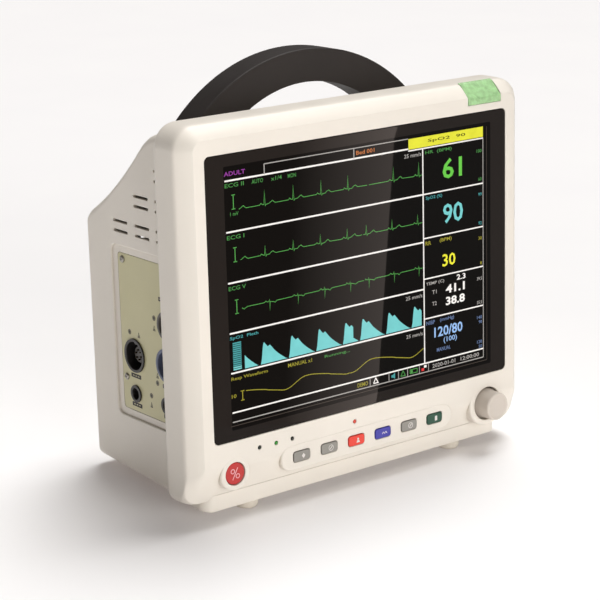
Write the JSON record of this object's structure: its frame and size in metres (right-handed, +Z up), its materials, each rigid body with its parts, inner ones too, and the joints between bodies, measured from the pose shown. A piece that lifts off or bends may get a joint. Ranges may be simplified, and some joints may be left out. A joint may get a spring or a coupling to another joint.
{
  "type": "patient monitor",
  "caption": "Bedside patient monitor with a flush display window, a row of keys, a turning push knob, side sockets and an arched carrying handle.",
  "frame": {"origin": "on the table, under the centre of the bounding box", "axes": "+X to the right of someone facing the display, +Y to the back, +Z up; the display leans back 3.65 degrees"},
  "size_m": [0.323, 0.1794, 0.3215],
  "materials": {
    "case_plastic": "fine moulded texture, warm off-white",
    "handle_plastic": "moulded, charcoal",
    "window_glass": "clear hard-coated window with a dark printed border",
    "plate_metal": "painted sheet, greenish grey",
    "socket_plastic": "moulded black",
    "socket_blue": "moulded blue-grey",
    "steel": "plated",
    "board_green": "solder resist",
    "foot_rubber": "moulded, pale",
    "seal_foam": "closed-cell foam",
    "lamp_green": "translucent, ribbed inside",
    "power_red": "satin moulded",
    "panel_backing": "sheet",
    "battery_wrap": "shrink wrap",
    "led_green": "light pipe",
    "led_red": "light pipe",
    "led_dark": "light pipe, unlit",
    "key_grey": "silicone rubber",
    "key_red": "silicone rubber",
    "key_blue": "silicone rubber",
    "key_green": "silicone rubber"
  },
  "bodies": {
    "monitor": {"alarm_lamp": "lamp_green", "alarm_lamp_board": "board_green", "battery_door": "case_plastic", "battery_pack": "battery_wrap", "carry_handle": "handle_plastic", "chassis_frame": "steel", "connector_plate": "plate_metal", "display_glass": "window_glass", "ecg_socket": "socket_plastic", "encoder_body": "socket_plastic", "front_bezel": "case_plastic", "front_foot_left": "foot_rubber", "front_foot_right": "foot_rubber", "fuse_holder": "socket_plastic", "ground_stud": "steel", "handle_screw_left": "steel", "handle_screw_right": "steel", "housing_screw_1": "steel", "housing_screw_2": "steel", "housing_screw_3": "steel", "housing_screw_4": "steel", "keypad_board": "board_green", "lcd_panel": "panel_backing", "led_alarm": "led_red", "led_battery": "led_dark", "led_mains": "led_dark", "led_power": "led_green", "main_board": "board_green", "mains_inlet": "socket_plastic", "network_port": "steel", "nibp_pump": "steel", "nibp_socket": "socket_plastic", "parameter_module": "panel_backing", "plate_screw_1": "steel", "plate_screw_2": "steel", "plate_screw_3": "steel", "plate_screw_4": "steel", "power_supply": "panel_backing", "power_switch": "socket_plastic", "rear_foot_left": "foot_rubber", "rear_foot_right": "foot_rubber", "rear_housing": "case_plastic", "rear_panel": "plate_metal", "speaker": "socket_plastic", "spo2_socket": "socket_blue", "temp_socket_1": "socket_plastic", "temp_socket_2": "socket_plastic", "window_gasket": "seal_foam"},
    "power_button": {"power_button": "power_red"},
    "encoder_shaft": {"encoder_shaft": "steel"},
    "encoder_knob": {"encoder_knob": "case_plastic"},
    "function_key_1": {"function_key_1": "key_grey"},
    "function_key_2": {"function_key_2": "key_grey"},
    "function_key_3": {"function_key_3": "key_red"},
    "function_key_4": {"function_key_4": "key_blue"},
    "function_key_5": {"function_key_5": "key_grey"},
    "function_key_6": {"function_key_6": "key_green"}
  },
  "joints": [
    {"name": "power_press", "type": "slide", "parent": "monitor", "child": "power_button", "axis": [0, 0.998, -0.0637], "range_m": [0, 0.0015], "stiffness_N_per_m": 700, "springref_m": -0.001},
    {"name": "key_press_1", "type": "slide", "parent": "monitor", "child": "function_key_1", "axis": [0, 0.998, -0.0637], "range_m": [0, 0.001], "stiffness_N_per_m": 700, "springref_m": -0.001},
    {"name": "key_press_2", "type": "slide", "parent": "monitor", "child": "function_key_2", "axis": [0, 0.998, -0.0637], "range_m": [0, 0.001], "stiffness_N_per_m": 700, "springref_m": -0.001},
    {"name": "key_press_3", "type": "slide", "parent": "monitor", "child": "function_key_3", "axis": [0, 0.998, -0.0637], "range_m": [0, 0.001], "stiffness_N_per_m": 700, "springref_m": -0.001},
    {"name": "key_press_4", "type": "slide", "parent": "monitor", "child": "function_key_4", "axis": [0, 0.998, -0.0637], "range_m": [0, 0.001], "stiffness_N_per_m": 700, "springref_m": -0.001},
    {"name": "key_press_5", "type": "slide", "parent": "monitor", "child": "function_key_5", "axis": [0, 0.998, -0.0637], "range_m": [0, 0.001], "stiffness_N_per_m": 700, "springref_m": -0.001},
    {"name": "key_press_6", "type": "slide", "parent": "monitor", "child": "function_key_6", "axis": [0, 0.998, -0.0637], "range_m": [0, 0.001], "stiffness_N_per_m": 700, "springref_m": -0.001},
    {"name": "encoder_turn", "type": "hinge", "parent": "monitor", "child": "encoder_shaft", "pos_m": [0.1224, -0.0766, 0.03739], "axis": [0, 0.998, -0.0637], "continuous": true},
    {"name": "knob_push", "type": "slide", "parent": "encoder_shaft", "child": "encoder_knob", "axis": [0, 0.998, -0.0637], "range_m": [0, 0.0008], "stiffness_N_per_m": 1200, "springref_m": -0.001}
  ]
}
